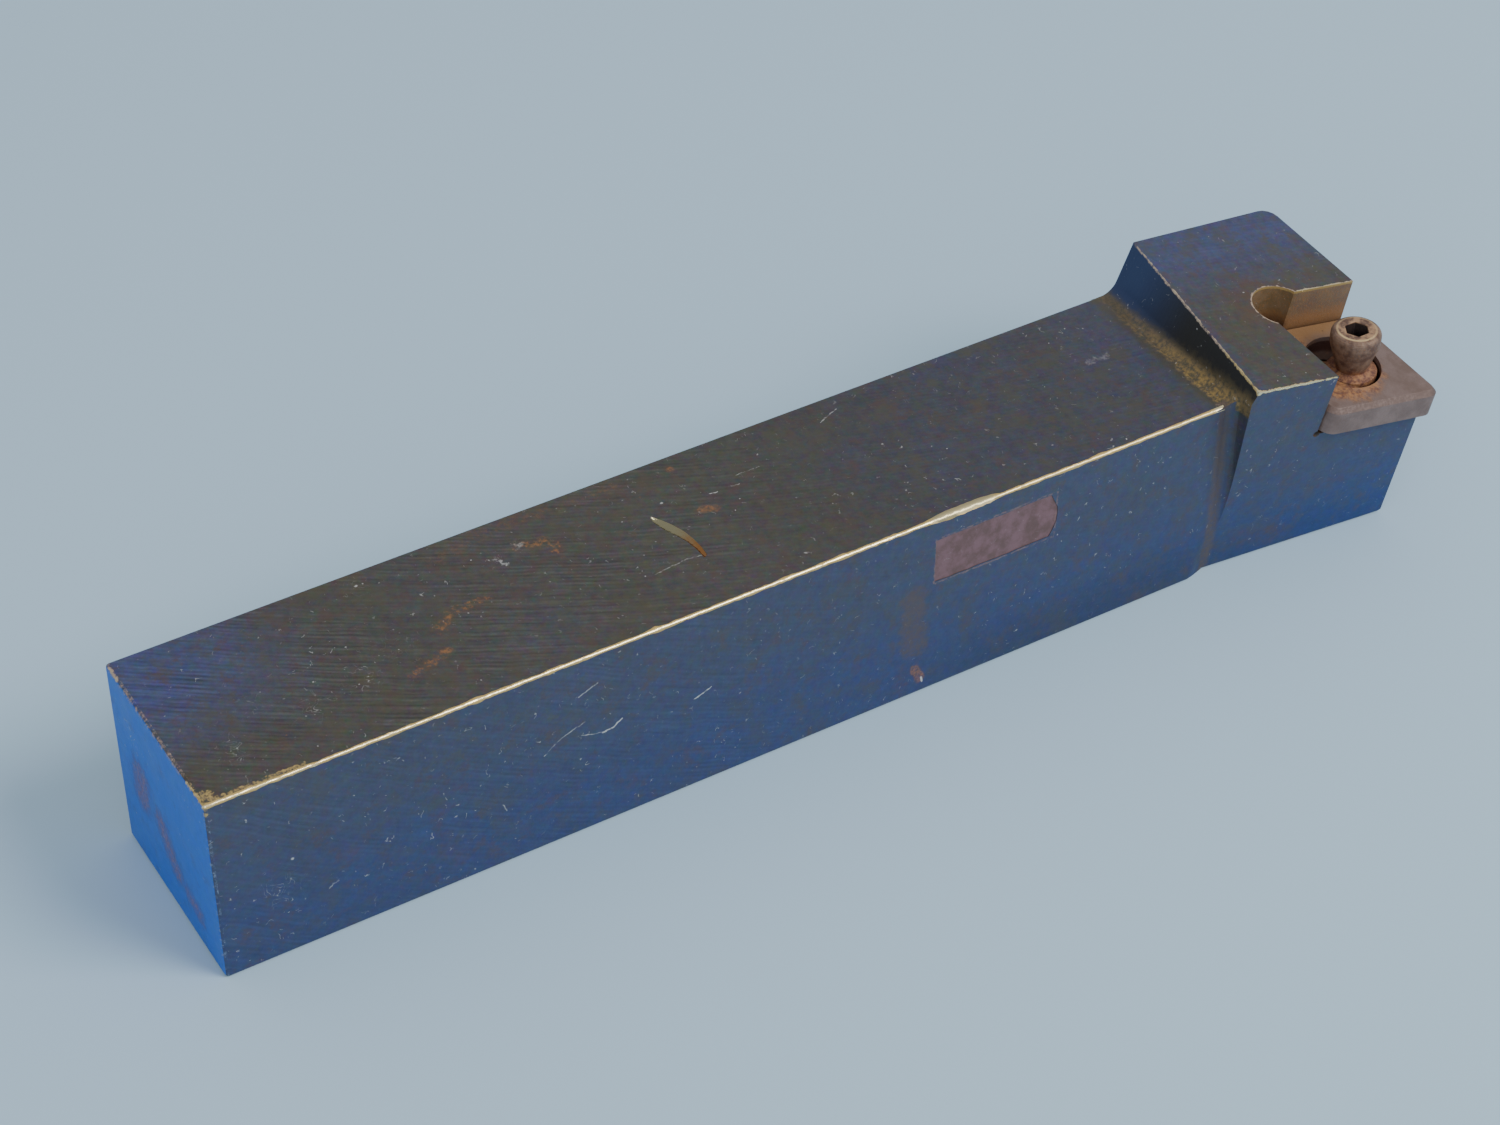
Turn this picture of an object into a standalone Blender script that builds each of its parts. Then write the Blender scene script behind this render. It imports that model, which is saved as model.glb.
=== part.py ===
"""Left-hand turning tool holder: a square shank with a tilted head and a rhombic insert pocket.

Three pieces: the one-piece holder, the shim seat on the pocket floor and the lock pin through it.
The indexable insert isn't fitted.

Model frame: +X across the shank towards the cutting side, +Y along the shank towards the nose,
+Z up. The origin is on the shank's base, mid-width and half-way along the overall length.
Shapes are designed in millimetres from the datum corner of the shank: x from the plain back face,
y from the rear end, z from the base. to_frame() moves and scales them into the model frame.
"""
import math

import bmesh
import bpy
from mathutils import Matrix, Vector

MM = 0.001

# Shank, and where the sharp insert nose would stand
SHANK_WIDTH = 20.0
SHANK_HEIGHT = 20.0
OVERALL_LENGTH = 125.0
NOSE_OFFSET = 25.0
SHANK_CHAMFER = 0.35

# Head: the top and the pocket tilt down towards the nose in both directions
TILT = math.radians(6.5)
LEAD = math.radians(5.0)
TOP_HEIGHT_AT_NOSE = 19.85
STEP_Y = 103.4
STEP_SKEW = -0.047
STEP_LEAN = math.radians(22.8)
STEP_FILLET = 1.8
STEP_HOLLOW = 0.15
SHANK_END_Y = 101.75
SIDE_AT_BASE = (19.45, 102.7)
SIDE_FLARE = 0.095
SIDE_CLEARANCE = math.radians(7.5)
FRONT_AT_BASE = (21.4, 121.9)
FRONT_CLEARANCE = math.radians(4.3)
SIDE_STEP_Y = 102.9
SIDE_STEP_FILLET = 1.2
SIDE_STEP_INSET = 0.02
RUN_OUT_Y = 99.3
RUN_OUT = math.radians(16.7)
RUN_OUT_RISE = 0.1
HEAD_REAR_Y = 101.0
HEAD_CORNER_BEVEL = 1.3

# Pocket for an 80 degree rhombic insert
INSERT_ANGLE = math.radians(80.0)
INSERT_CIRCLE = 12.7
POCKET_DEPTH = 7.2
RELIEF_CENTRE = (-11.26, -12.77)
RELIEF_RADIUS = 2.82
WALL_GROOVE_RADIUS = 0.35

# Shim seat
GAP = 0.3
SHIM_CIRCLE = 12.3
SHIM_THICKNESS = 2.85
SHIM_CORNER = 1.2
SHIM_CHAMFER = 0.45
SHIM_HOLE_RADIUS = 3.75

# Lock pin, upright in its own tapped hole
PIN_X = 18.0
PIN_Y = 118.5
PIN_TOP_Z = 21.25
HEAD_RADIUS = 2.4
HEAD_ROUND = 0.6
HEAD_LAND = 0.9
WAIST_RADIUS = 1.5
WAIST_DROP = 4.35
COLLAR_RADIUS = 2.45
COLLAR_DROP = 4.6
COLLAR_HEIGHT = 0.8
COLLAR_TAPER = 0.4
SPIGOT_RADIUS = 2.1
THREAD_RADIUS = 2.41
THREAD_START_DROP = 7.6
THREAD_END_DROP = 14.0
THREAD_CHAMFER = 0.5
HEX_ACROSS_FLATS = 2.4
HEX_DEPTH = 2.6
TAPPED_HOLE_END_Z = 6.6
DRILL_POINT = math.radians(59.0)

ROUND_SEGMENTS = 64
ARC_STEPS = 8
CORNER_STEPS = 4
CHAMFER_STEPS = 2
MERGE = 0.01 * MM
LEVEL_TOLERANCE = 0.001
UPRIGHT_COSINE = 0.9
REACH = 40.0


def to_frame():
    """Matrix from the datum corner in millimetres to the model frame in metres."""
    shift = Matrix.Translation((-SHANK_WIDTH / 2, -OVERALL_LENGTH / 2, 0))
    return Matrix.Scale(MM, 4) @ shift


def pocket_axes():
    """Local axes on the tilted head top: across, along the side cutting edge, and the normal."""
    slope = math.tan(TILT)
    normal = Vector((slope, slope, 1)).normalized()
    along = Vector((math.sin(LEAD), math.cos(LEAD), 0))
    along.z = -slope * (along.x + along.y)
    along.normalize()
    across = along.cross(normal)
    return across, along, normal


ACROSS, ALONG, NORMAL = pocket_axes()
NOSE = Vector((NOSE_OFFSET, OVERALL_LENGTH, TOP_HEIGHT_AT_NOSE))


def pocket_matrix(depth=0.0):
    """Matrix from pocket coordinates to the datum corner, lowered by depth below the head top."""
    turn = Matrix((ACROSS, ALONG, NORMAL)).transposed().to_4x4()
    return Matrix.Translation(NOSE - NORMAL * depth) @ turn


def rhombus_corner(circle):
    """Pocket coordinates of the corner opposite the nose, for an inscribed circle."""
    side = circle / math.sin(INSERT_ANGLE)
    return Vector((-circle, -side * (1 + math.cos(INSERT_ANGLE))))


def clear_scene():
    for obj in list(bpy.data.objects):
        bpy.data.objects.remove(obj, do_unlink=True)


def make_collection(name):
    collection = bpy.data.collections.new(name)
    bpy.context.scene.collection.children.link(collection)
    return collection


def make_material(name, colour, roughness, metallic):
    material = bpy.data.materials.new(name)
    material.use_nodes = True
    shader = material.node_tree.nodes["Principled BSDF"]
    shader.inputs["Base Color"].default_value = (*colour, 1.0)
    shader.inputs["Roughness"].default_value = roughness
    shader.inputs["Metallic"].default_value = metallic
    return material


def add_object(name, bm, collection, material=None):
    """Scale a mesh built from the datum corner into the model frame and link it."""
    bmesh.ops.transform(bm, matrix=to_frame(), verts=bm.verts)
    bmesh.ops.recalc_face_normals(bm, faces=bm.faces)
    mesh = bpy.data.meshes.new(name)
    bm.to_mesh(mesh)
    bm.free()
    obj = bpy.data.objects.new(name, mesh)
    collection.objects.link(obj)
    if material:
        mesh.materials.append(material)
    else:
        obj.hide_render = True
        obj.display_type = "WIRE"
    return obj


def box(low, high):
    """A box mesh between two corners."""
    bm = bmesh.new()
    bmesh.ops.create_cube(bm, size=1.0)
    size = Vector(high) - Vector(low)
    middle = (Vector(high) + Vector(low)) / 2
    bmesh.ops.scale(bm, vec=size, verts=bm.verts)
    bmesh.ops.translate(bm, vec=middle, verts=bm.verts)
    return bm


def trim(bm, point, outward):
    """Cut away everything on the outward side of a plane, and close the cut."""
    geometry = bm.verts[:] + bm.edges[:] + bm.faces[:]
    cut = bmesh.ops.bisect_plane(
        bm, geom=geometry, plane_co=Vector(point), plane_no=Vector(outward), clear_outer=True
    )
    rim = [item for item in cut["geom_cut"] if isinstance(item, bmesh.types.BMEdge)]
    bmesh.ops.holes_fill(bm, edges=rim, sides=0)


def bevel_edges(bm, chosen, width, segments):
    edges = [edge for edge in bm.edges if chosen(edge)]
    bmesh.ops.bevel(
        bm, geom=edges, offset=width, segments=segments, profile=0.5, affect="EDGES",
        clamp_overlap=True,
    )


def prism(outline, low, high, matrix):
    """A closed prism on a flat outline, between two heights along the matrix's own Z."""
    bm = bmesh.new()
    floor = bm.faces.new([bm.verts.new((x, y, low)) for x, y in outline])
    grown = bmesh.ops.extrude_face_region(bm, geom=[floor])
    lifted = [item for item in grown["geom"] if isinstance(item, bmesh.types.BMVert)]
    bmesh.ops.translate(bm, vec=(0, 0, high - low), verts=lifted)
    bmesh.ops.transform(bm, matrix=matrix, verts=bm.verts)
    return bm


def cylinder(radius, low, high, matrix, point_angle=None):
    """A cylinder along the matrix's own Z. A drill's point angle gives it a cone below."""
    bm = bmesh.new()
    bmesh.ops.create_cone(
        bm, cap_ends=True, segments=ROUND_SEGMENTS, radius1=radius, radius2=radius,
        depth=high - low,
    )
    bmesh.ops.translate(bm, vec=(0, 0, (low + high) / 2), verts=bm.verts)
    if point_angle:
        base = min(bm.faces, key=lambda face: face.calc_center_median().z)
        tip = bmesh.ops.poke(bm, faces=[base])["verts"]
        bmesh.ops.translate(bm, vec=(0, 0, -radius / math.tan(point_angle)), verts=tip)
    bmesh.ops.transform(bm, matrix=matrix, verts=bm.verts)
    return bm


def middle_of(edge):
    return (edge.verts[0].co + edge.verts[1].co) / 2


def is_upright(edge):
    direction = edge.verts[1].co - edge.verts[0].co
    return abs(direction.normalized().z) > UPRIGHT_COSINE


def is_on_level(edge, level):
    return all(abs(vert.co.z - level) < LEVEL_TOLERANCE for vert in edge.verts)


def boolean(target, cutter, operation):
    modifier = target.modifiers.new(operation.lower(), "BOOLEAN")
    modifier.operation = operation
    modifier.object = cutter
    modifier.solver = "EXACT"


def make_shank():
    """The square bar, chamfered along its edges, with the side cutter's run-out near the head."""
    bm = box((0, 0, 0), (SHANK_WIDTH, SHANK_END_Y, SHANK_HEIGHT))
    bevel_edges(bm, is_off_the_far_end, SHANK_CHAMFER, CHAMFER_STEPS)
    trim(bm, (SHANK_WIDTH, RUN_OUT_Y, 0), (1, math.tan(RUN_OUT), -RUN_OUT_RISE))
    return bm


def is_off_the_far_end(edge):
    """True for the shank's edges that don't lie wholly in its end face inside the head."""
    return min(vert.co.y for vert in edge.verts) < RUN_OUT_Y


def make_head():
    """The convex lump that carries the pocket, before its step is milled."""
    bm = box((0, HEAD_REAR_Y, 0), (REACH, OVERALL_LENGTH, REACH))
    trim(bm, (*SIDE_AT_BASE, 0), (1, -SIDE_FLARE, -math.tan(SIDE_CLEARANCE)))
    trim(bm, (*FRONT_AT_BASE, 0), (-math.tan(LEAD), 1, -math.tan(FRONT_CLEARANCE)))
    trim(bm, NOSE, NORMAL)
    bevel_edges(bm, is_far_front_edge, HEAD_CORNER_BEVEL, CORNER_STEPS)
    bevel_edges(bm, is_head_base_edge, SHANK_CHAMFER, CHAMFER_STEPS)
    return bm


def is_far_front_edge(edge):
    """True for the upright edge where the plain back face meets the front."""
    middle = middle_of(edge)
    return is_upright(edge) and middle.x < SHANK_WIDTH / 2 and middle.y > SHANK_END_Y


def is_head_base_edge(edge):
    """True for the edges round the head's underside, apart from the one inside the shank."""
    return is_on_level(edge, 0) and max(vert.co.y for vert in edge.verts) > SHANK_END_Y


def make_step_cutter():
    """What the milling cutter removes behind the head: a floor, a lean and a rounded foot."""
    floor = SHANK_HEIGHT - STEP_HOLLOW
    bm = box((-REACH, STEP_Y - REACH, floor), (REACH, STEP_Y + REACH, REACH))
    lean = Vector((-STEP_SKEW, 1, -math.tan(STEP_LEAN)))
    trim(bm, (0, STEP_Y, SHANK_HEIGHT), lean)

    def is_foot(edge):
        return is_on_level(edge, floor) and middle_of(edge).y > SHANK_END_Y

    bevel_edges(bm, is_foot, STEP_FILLET * math.tan((math.pi / 2 - STEP_LEAN) / 2), ARC_STEPS)
    return bm


def make_side_step_cutter():
    """What the cutter removes beside the shank, up to the head's flare, with a rounded foot."""
    low = (SHANK_WIDTH - SIDE_STEP_INSET, 0, -REACH)
    bm = box(low, (REACH, SIDE_STEP_Y, REACH))

    def is_foot(edge):
        middle = middle_of(edge)
        return is_upright(edge) and middle.x < SHANK_WIDTH and middle.y > HEAD_REAR_Y

    bevel_edges(bm, is_foot, SIDE_STEP_FILLET, ARC_STEPS)
    return bm


def make_pocket_cutter():
    """The open rhombic corner: two walls at the insert's angle, and the floor."""
    corner = rhombus_corner(INSERT_CIRCLE)
    rear = Vector((math.sin(INSERT_ANGLE), math.cos(INSERT_ANGLE)))
    outline = [
        corner,
        corner + rear * REACH,
        corner + rear * REACH + Vector((0, REACH)),
        corner + Vector((0, REACH)),
    ]
    return prism(outline, -POCKET_DEPTH, REACH, pocket_matrix())


def make_relief_cutter():
    """The round relief in the pocket's inner corner."""
    place = pocket_matrix() @ Matrix.Translation((*RELIEF_CENTRE, 0))
    return cylinder(RELIEF_RADIUS, -POCKET_DEPTH - GAP, REACH / 2, place)


def make_wall_groove_cutter(direction):
    """A small round groove along the foot of a pocket wall."""
    corner = rhombus_corner(INSERT_CIRCLE)
    foot = pocket_matrix(POCKET_DEPTH) @ Matrix.Translation((*corner, 0))
    quarter_turn = Matrix.Rotation(-math.pi / 2, 4, "X")
    swing = Matrix.Rotation(-direction, 4, "Z")
    return cylinder(WALL_GROOVE_RADIUS, RELIEF_RADIUS / 2, REACH, foot @ swing @ quarter_turn)


def make_tapped_hole_cutter():
    place = Matrix.Translation((PIN_X, PIN_Y, 0))
    return cylinder(THREAD_RADIUS + GAP, TAPPED_HOLE_END_Z, REACH, place, DRILL_POINT)


def make_holder(parts, cutters, material):
    holder = add_object("holder", make_shank(), parts, material)
    head = add_object("head_blank", make_head(), cutters)
    boolean(head, add_object("step_cutter", make_step_cutter(), cutters), "DIFFERENCE")
    boolean(head, add_object("side_step_cutter", make_side_step_cutter(), cutters), "DIFFERENCE")
    boolean(holder, head, "UNION")
    cuts = {
        "pocket_cutter": make_pocket_cutter(),
        "relief_cutter": make_relief_cutter(),
        "side_wall_groove_cutter": make_wall_groove_cutter(0),
        "rear_wall_groove_cutter": make_wall_groove_cutter(INSERT_ANGLE),
        "tapped_hole_cutter": make_tapped_hole_cutter(),
    }
    for name, bm in cuts.items():
        boolean(holder, add_object(name, bm, cutters), "DIFFERENCE")
    return holder


def make_shim(parts, cutters, material):
    """The rhombic seat: rounded corners, a chamfered top edge and a plain hole."""
    corner = rhombus_corner(INSERT_CIRCLE)
    inward = Vector((GAP, GAP * (1 + math.cos(INSERT_ANGLE)) / math.sin(INSERT_ANGLE)))
    start = corner + inward
    side = SHIM_CIRCLE / math.sin(INSERT_ANGLE)
    rear = Vector((math.sin(INSERT_ANGLE), math.cos(INSERT_ANGLE))) * side
    front = Vector((0, side))
    outline = [start, start + rear, start + rear + front, start + front]
    low = GAP - POCKET_DEPTH
    high = low + SHIM_THICKNESS
    bm = prism(outline, low, high, Matrix())
    bevel_edges(bm, is_upright, SHIM_CORNER, ARC_STEPS)
    bevel_edges(bm, lambda edge: is_on_level(edge, high), SHIM_CHAMFER, 1)
    bmesh.ops.transform(bm, matrix=pocket_matrix(), verts=bm.verts)
    shim = add_object("shim_seat", bm, parts, material)
    middle = corner / 2
    place = pocket_matrix() @ Matrix.Translation((middle.x, middle.y, 0))
    hole = cylinder(SHIM_HOLE_RADIUS, -REACH / 2, REACH / 2, place)
    boolean(shim, add_object("shim_hole_cutter", hole, cutters), "DIFFERENCE")
    return shim


def pin_profile():
    """Radius and height below the pin's top, from the hex socket's mouth down to the tip."""
    points = [(0.0, 0.0), (HEAD_RADIUS - HEAD_ROUND, 0.0)]
    for step in range(1, ARC_STEPS + 1):
        angle = math.pi / 2 * step / ARC_STEPS
        radius = HEAD_RADIUS - HEAD_ROUND * (1 - math.sin(angle))
        points.append((radius, -HEAD_ROUND * (1 - math.cos(angle))))
    points += [
        (HEAD_RADIUS, -HEAD_ROUND - HEAD_LAND),
        (WAIST_RADIUS, -WAIST_DROP),
        (COLLAR_RADIUS, -COLLAR_DROP),
        (COLLAR_RADIUS, -COLLAR_DROP - COLLAR_HEIGHT),
        (SPIGOT_RADIUS, -COLLAR_DROP - COLLAR_HEIGHT - COLLAR_TAPER),
        (SPIGOT_RADIUS, -THREAD_START_DROP),
        (THREAD_RADIUS, -THREAD_START_DROP - THREAD_CHAMFER),
        (THREAD_RADIUS, -THREAD_END_DROP + THREAD_CHAMFER),
        (THREAD_RADIUS - THREAD_CHAMFER, -THREAD_END_DROP),
        (0.0, -THREAD_END_DROP),
    ]
    return points


def make_pin(parts, cutters, material):
    """The turned lock pin, with its origin on its own axis, and the hex socket in its top."""
    mesh = bpy.data.meshes.new("lock_pin")
    points = [(radius * MM, 0, height * MM) for radius, height in pin_profile()]
    mesh.from_pydata(points, [(i, i + 1) for i in range(len(points) - 1)], [])
    pin = bpy.data.objects.new("lock_pin", mesh)
    parts.objects.link(pin)
    mesh.materials.append(material)
    pin.location = to_frame() @ Vector((PIN_X, PIN_Y, PIN_TOP_Z))
    turn = pin.modifiers.new("turn", "SCREW")
    turn.steps = ROUND_SEGMENTS
    turn.render_steps = ROUND_SEGMENTS
    turn.use_merge_vertices = True
    turn.merge_threshold = MERGE
    radius = HEX_ACROSS_FLATS / 2 / math.cos(math.pi / 6)
    socket = bmesh.new()
    bmesh.ops.create_cone(
        socket, cap_ends=True, segments=6, radius1=radius, radius2=radius, depth=2 * HEX_DEPTH
    )
    bmesh.ops.translate(socket, vec=(PIN_X, PIN_Y, PIN_TOP_Z), verts=socket.verts)
    boolean(pin, add_object("hex_cutter", socket, cutters), "DIFFERENCE")
    return pin


def main():
    clear_scene()
    parts = make_collection("turning_tool_holder")
    cutters = make_collection("cutters")
    steel = make_material("blackened_steel", (0.045, 0.05, 0.065), 0.42, 0.85)
    seat = make_material("seat_steel", (0.16, 0.13, 0.12), 0.5, 0.7)
    pin = make_material("pin_steel", (0.13, 0.10, 0.08), 0.45, 0.8)
    make_holder(parts, cutters, steel)
    make_shim(parts, cutters, seat)
    make_pin(parts, cutters, pin)


main()
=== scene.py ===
"""Looks of the left-hand turning tool holder: blackened steel, worn edges and a rusty pocket.

Places on the object are in drawing millimetres from the holder's datum corner: x from the plain
back face, y from the rear end, z from the base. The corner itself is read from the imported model.
"""
import functools
import math

import bmesh
import bpy
import numpy as np
from mathutils import Matrix, Vector, noise


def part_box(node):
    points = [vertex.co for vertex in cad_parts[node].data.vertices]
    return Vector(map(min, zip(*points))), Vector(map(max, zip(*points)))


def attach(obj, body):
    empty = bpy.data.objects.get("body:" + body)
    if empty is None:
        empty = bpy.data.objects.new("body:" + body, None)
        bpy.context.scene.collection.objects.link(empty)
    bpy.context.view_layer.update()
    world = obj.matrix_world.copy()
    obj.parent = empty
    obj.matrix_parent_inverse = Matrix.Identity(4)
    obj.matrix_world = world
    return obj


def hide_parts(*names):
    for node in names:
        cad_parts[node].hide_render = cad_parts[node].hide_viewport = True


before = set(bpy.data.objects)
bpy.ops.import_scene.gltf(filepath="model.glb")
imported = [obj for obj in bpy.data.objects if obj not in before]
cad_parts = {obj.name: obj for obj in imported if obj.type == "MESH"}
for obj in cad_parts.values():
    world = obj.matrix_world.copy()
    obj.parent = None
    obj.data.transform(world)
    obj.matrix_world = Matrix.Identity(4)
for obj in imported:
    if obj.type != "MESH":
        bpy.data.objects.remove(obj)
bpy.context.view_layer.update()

MM = 0.001
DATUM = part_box("holder")[0]
TO_DRAWING = Matrix.Scale(1 / MM, 4) @ Matrix.Translation(-Vector(DATUM))
TO_FRAME = TO_DRAWING.inverted()

# The holder's own dimensions, in drawing millimetres
WIDTH = 20.0
HEIGHT = 20.0
CHAMFER = 0.35
SHANK_END = 101.0
STEP_FOOT = 101.6
STEP_TOP = 103.6
TILT = math.radians(6.5)
LEAD = math.radians(5.0)
NOSE = Vector((25.0, 125.0, 19.85))
POCKET_DEPTH = 7.2
RELIEF = (-11.26, -12.77)
RELIEF_RADIUS = 2.82
WALL = 12.7
INSERT_ANGLE = math.radians(80.0)
PIN = Vector((18.0, 118.5, 21.25))
PIN_RIM = 1.80
SOCKET_REACH = 1.45
SOCKET_DEPTH = 3.0
SOCKET_SHRINK = 0.86

# A little outside the tapped hole, and below the tip of its drill point
TAPPED_HOLE_REACH = 2.8
POCKET_LOWEST = 4.0

# The seat's hole, and the rust packed in it beside the pin, across and along in the pocket
SEAT_HOLE = Vector((-6.35, -7.568))
SEAT_HOLE_RADIUS = 3.75
CAKE_CENTRE = Vector((-5.985, -6.671))
CAKE_RADIUS = 2.62
CAKE_START = math.radians(-105)
CAKE_END = math.radians(12)
CAKE_STEPS = 24
CAKE_TOP = -4.42
CAKE_HEIGHT = 1.2

# Corners of the head's top, and where its rear edge meets the two sides
HEAD_BACK_REAR = Vector((0.15, 105.3, 24.93))
HEAD_FRONT_INNER = Vector((12.13, 122.69, 21.58))
HEAD_SIDE_INNER = Vector((23.25, 111.96, 21.54))
HEAD_SIDE_REAR = Vector((22.47, 103.38, 22.6))

# Rounding of the sharp edges
HEAD_ROUNDING = 0.13
SEAT_ROUNDING = 0.07
PIN_ROUNDING = 0.08

# The worn near top edge: where it starts and ends, and how wide it is
WEAR_START = 1.0
WEAR_END = SHANK_END - 2.5
CUT_SPACING = 0.4
WEAR_MEAN = 0.26
WEAR_SWING = 0.10
WEAR_LEAST = 0.08
WEAR_BELLY = 0.38
FLAT_START = 69.0
FLAT_END = 77.0
FLAT_WIDTH = 0.45
NICKS = ((4.2, 0.12), (24.7, 0.14), (41.8, 0.22), (60.6, 0.16), (88.0, 0.10))
NICK_LENGTH = 0.45

# How bare the other edges are, from 0 to 1
BARE_NEAR_TOP = 1.0
BARE_REAR_TOP = 0.44
BARE_REAR = 0.41
BARE_SHANK = 0.26
BARE_HEAD = 0.36
BARE_HEAD_FOOT = 0.20

# The hooked gouge in the top: a rod's places and radii, its height, and its middle line
GOUGE_ROD = (
    ((6.75, 48.75), 0.16), ((7.6, 48.95), 0.42), ((8.7, 49.35), 0.56), ((10.0, 49.85), 0.52),
    ((11.3, 50.15), 0.40), ((12.6, 50.27), 0.32), ((13.6, 50.22), 0.28), ((13.95, 50.0), 0.15),
)
GOUGE_RISE = 0.13
GOUGE_LINE = ((6.6, 48.7), (8.7, 49.4), (10.4, 49.95), (12.2, 50.25), (14.0, 50.2))

# The ground rectangle on the near side, with a bulging front end
PLATE_START = 70.2
PLATE_END = 82.6
PLATE_LOW = 12.75
PLATE_HIGH = 17.6
PLATE_DEPTH = 0.05
PLATE_BULGE = 0.9
PLATE_STEPS = 14
PLATE_END_STEPS = 6


def pocket_axes():
    """Across, along the side cutting edge, and up from the tilted head top."""
    slope = math.tan(TILT)
    up = Vector((slope, slope, 1)).normalized()
    along = Vector((math.sin(LEAD), math.cos(LEAD), 0))
    along.z = -slope * (along.x + along.y)
    along.normalize()
    return along.cross(up), along, up


ACROSS, ALONG, UP = pocket_axes()


def in_pocket(point):
    """Pocket coordinates of a drawing point, from the sharp nose on the head's top."""
    offset = point - NOSE
    return Vector((offset.dot(ACROSS), offset.dot(ALONG), offset.dot(UP)))


def from_pocket(across, along, up=0.0):
    """Drawing point of some pocket coordinates."""
    return NOSE + ACROSS * across + ALONG * along + UP * up


# ---------- meshes

def copy_of(node):
    """A bmesh of a CAD node in drawing millimetres, with its flat faces whole again."""
    bm = bmesh.new()
    bm.from_mesh(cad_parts[node].data)
    bmesh.ops.transform(bm, matrix=TO_DRAWING, verts=bm.verts)
    bmesh.ops.remove_doubles(bm, verts=bm.verts, dist=0.002)
    bmesh.ops.dissolve_limit(bm, angle_limit=math.radians(0.4), verts=bm.verts, edges=bm.edges)
    return bm


def add_object(name, data):
    obj = bpy.data.objects.new(name, data)
    bpy.context.scene.collection.objects.link(obj)
    return obj


def framed_mesh(bm, name):
    """Turn a drawing mesh into mesh data in the frame."""
    bmesh.ops.transform(bm, matrix=TO_FRAME, verts=bm.verts)
    mesh = bpy.data.meshes.new(name)
    bm.to_mesh(mesh)
    bm.free()
    return mesh


def to_object(bm, name, materials):
    """Turn a drawing mesh into an object, shaded smooth except at sharp edges."""
    mesh = framed_mesh(bm, name)
    obj = add_object(name, mesh)
    for material in materials:
        mesh.materials.append(material)
    mesh.shade_smooth()
    mesh.set_sharp_from_angle(angle=math.radians(32))
    return obj


def evaluated_mesh(obj):
    """A new mesh of an object as its modifiers or curve settings shape it."""
    bpy.context.view_layer.update()
    depsgraph = bpy.context.evaluated_depsgraph_get()
    return bpy.data.meshes.new_from_object(obj.evaluated_get(depsgraph))


def sharp_edges(bm, degrees, where):
    """Edges that bend by more than some degrees and whose middles pass a test."""
    limit = math.radians(degrees)
    return [
        edge for edge in bm.edges
        if edge.is_manifold and edge.calc_face_angle() > limit
        and where((edge.verts[0].co + edge.verts[1].co) / 2)
    ]


def round_edges(bm, edges, radius):
    """Round some edges a little, and return the new faces."""
    made = bmesh.ops.bevel(
        bm, geom=edges, offset=radius, segments=2, profile=0.5, affect="EDGES", clamp_overlap=True
    )
    return made["faces"]


def wobble(along, pitch, seed):
    """Smooth noise from -1 to 1 along a line."""
    return noise.fractal(Vector((along / pitch, seed, 0.5)), 0.6, 2.0, 4)


def wear_widths(y):
    """How far the near top edge is worn, on the top and on the side."""
    flat = 0.0
    if FLAT_START < y < FLAT_END:
        share = (y - FLAT_START) / (FLAT_END - FLAT_START)
        flat = FLAT_WIDTH * math.sin(math.pi * share) ** 0.6
    nick = sum(depth * math.exp(-(((y - place) / NICK_LENGTH) ** 2)) for place, depth in NICKS)
    top_width = WEAR_MEAN + WEAR_SWING * wobble(y, 1.1, 3.0) + flat + nick
    side_width = WEAR_MEAN + WEAR_SWING * wobble(y, 0.9, 8.0) + 0.6 * flat + 0.6 * nick
    return max(top_width, WEAR_LEAST), max(side_width, WEAR_LEAST)


def wear_near_top_edge(bm):
    """Cut the shank across, and let the near top chamfer's width wander."""
    for y in np.arange(WEAR_START, WEAR_END, CUT_SPACING):
        bmesh.ops.bisect_plane(
            bm, geom=bm.verts[:] + bm.edges[:] + bm.faces[:], plane_co=(0, y, 0),
            plane_no=(0, 1, 0), dist=0.0005,
        )
    for vert in bm.verts:
        x, y, z = vert.co
        if not WEAR_START - 0.1 < y < WEAR_END or x < WIDTH - 1 or z < HEIGHT - 1:
            continue
        top_width, side_width = wear_widths(y)
        if abs(z - HEIGHT) < 0.01:
            vert.co.x = WIDTH - top_width
        elif abs(x - WIDTH) < 0.01:
            vert.co.z = HEIGHT - side_width
        else:
            belly = WEAR_BELLY + 0.05 * wobble(y, 1.1, 20.0)
            vert.co.x = WIDTH - top_width * belly
            vert.co.z = HEIGHT - side_width * belly


def chamfer_wear(centre, normal):
    """How bare a shank chamfer face is, from 0 to 1, by the edge that it lies on."""
    tilted = sum(abs(part) > 0.12 for part in normal) > 1
    if not tilted or centre.y > SHANK_END:
        return 0.0
    near = centre.x > WIDTH - 1.2
    upper = centre.z > HEIGHT - 1.2
    if near and upper:
        return BARE_NEAR_TOP
    if centre.y < CHAMFER:
        return BARE_REAR_TOP if upper else BARE_REAR
    return BARE_SHANK


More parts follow.
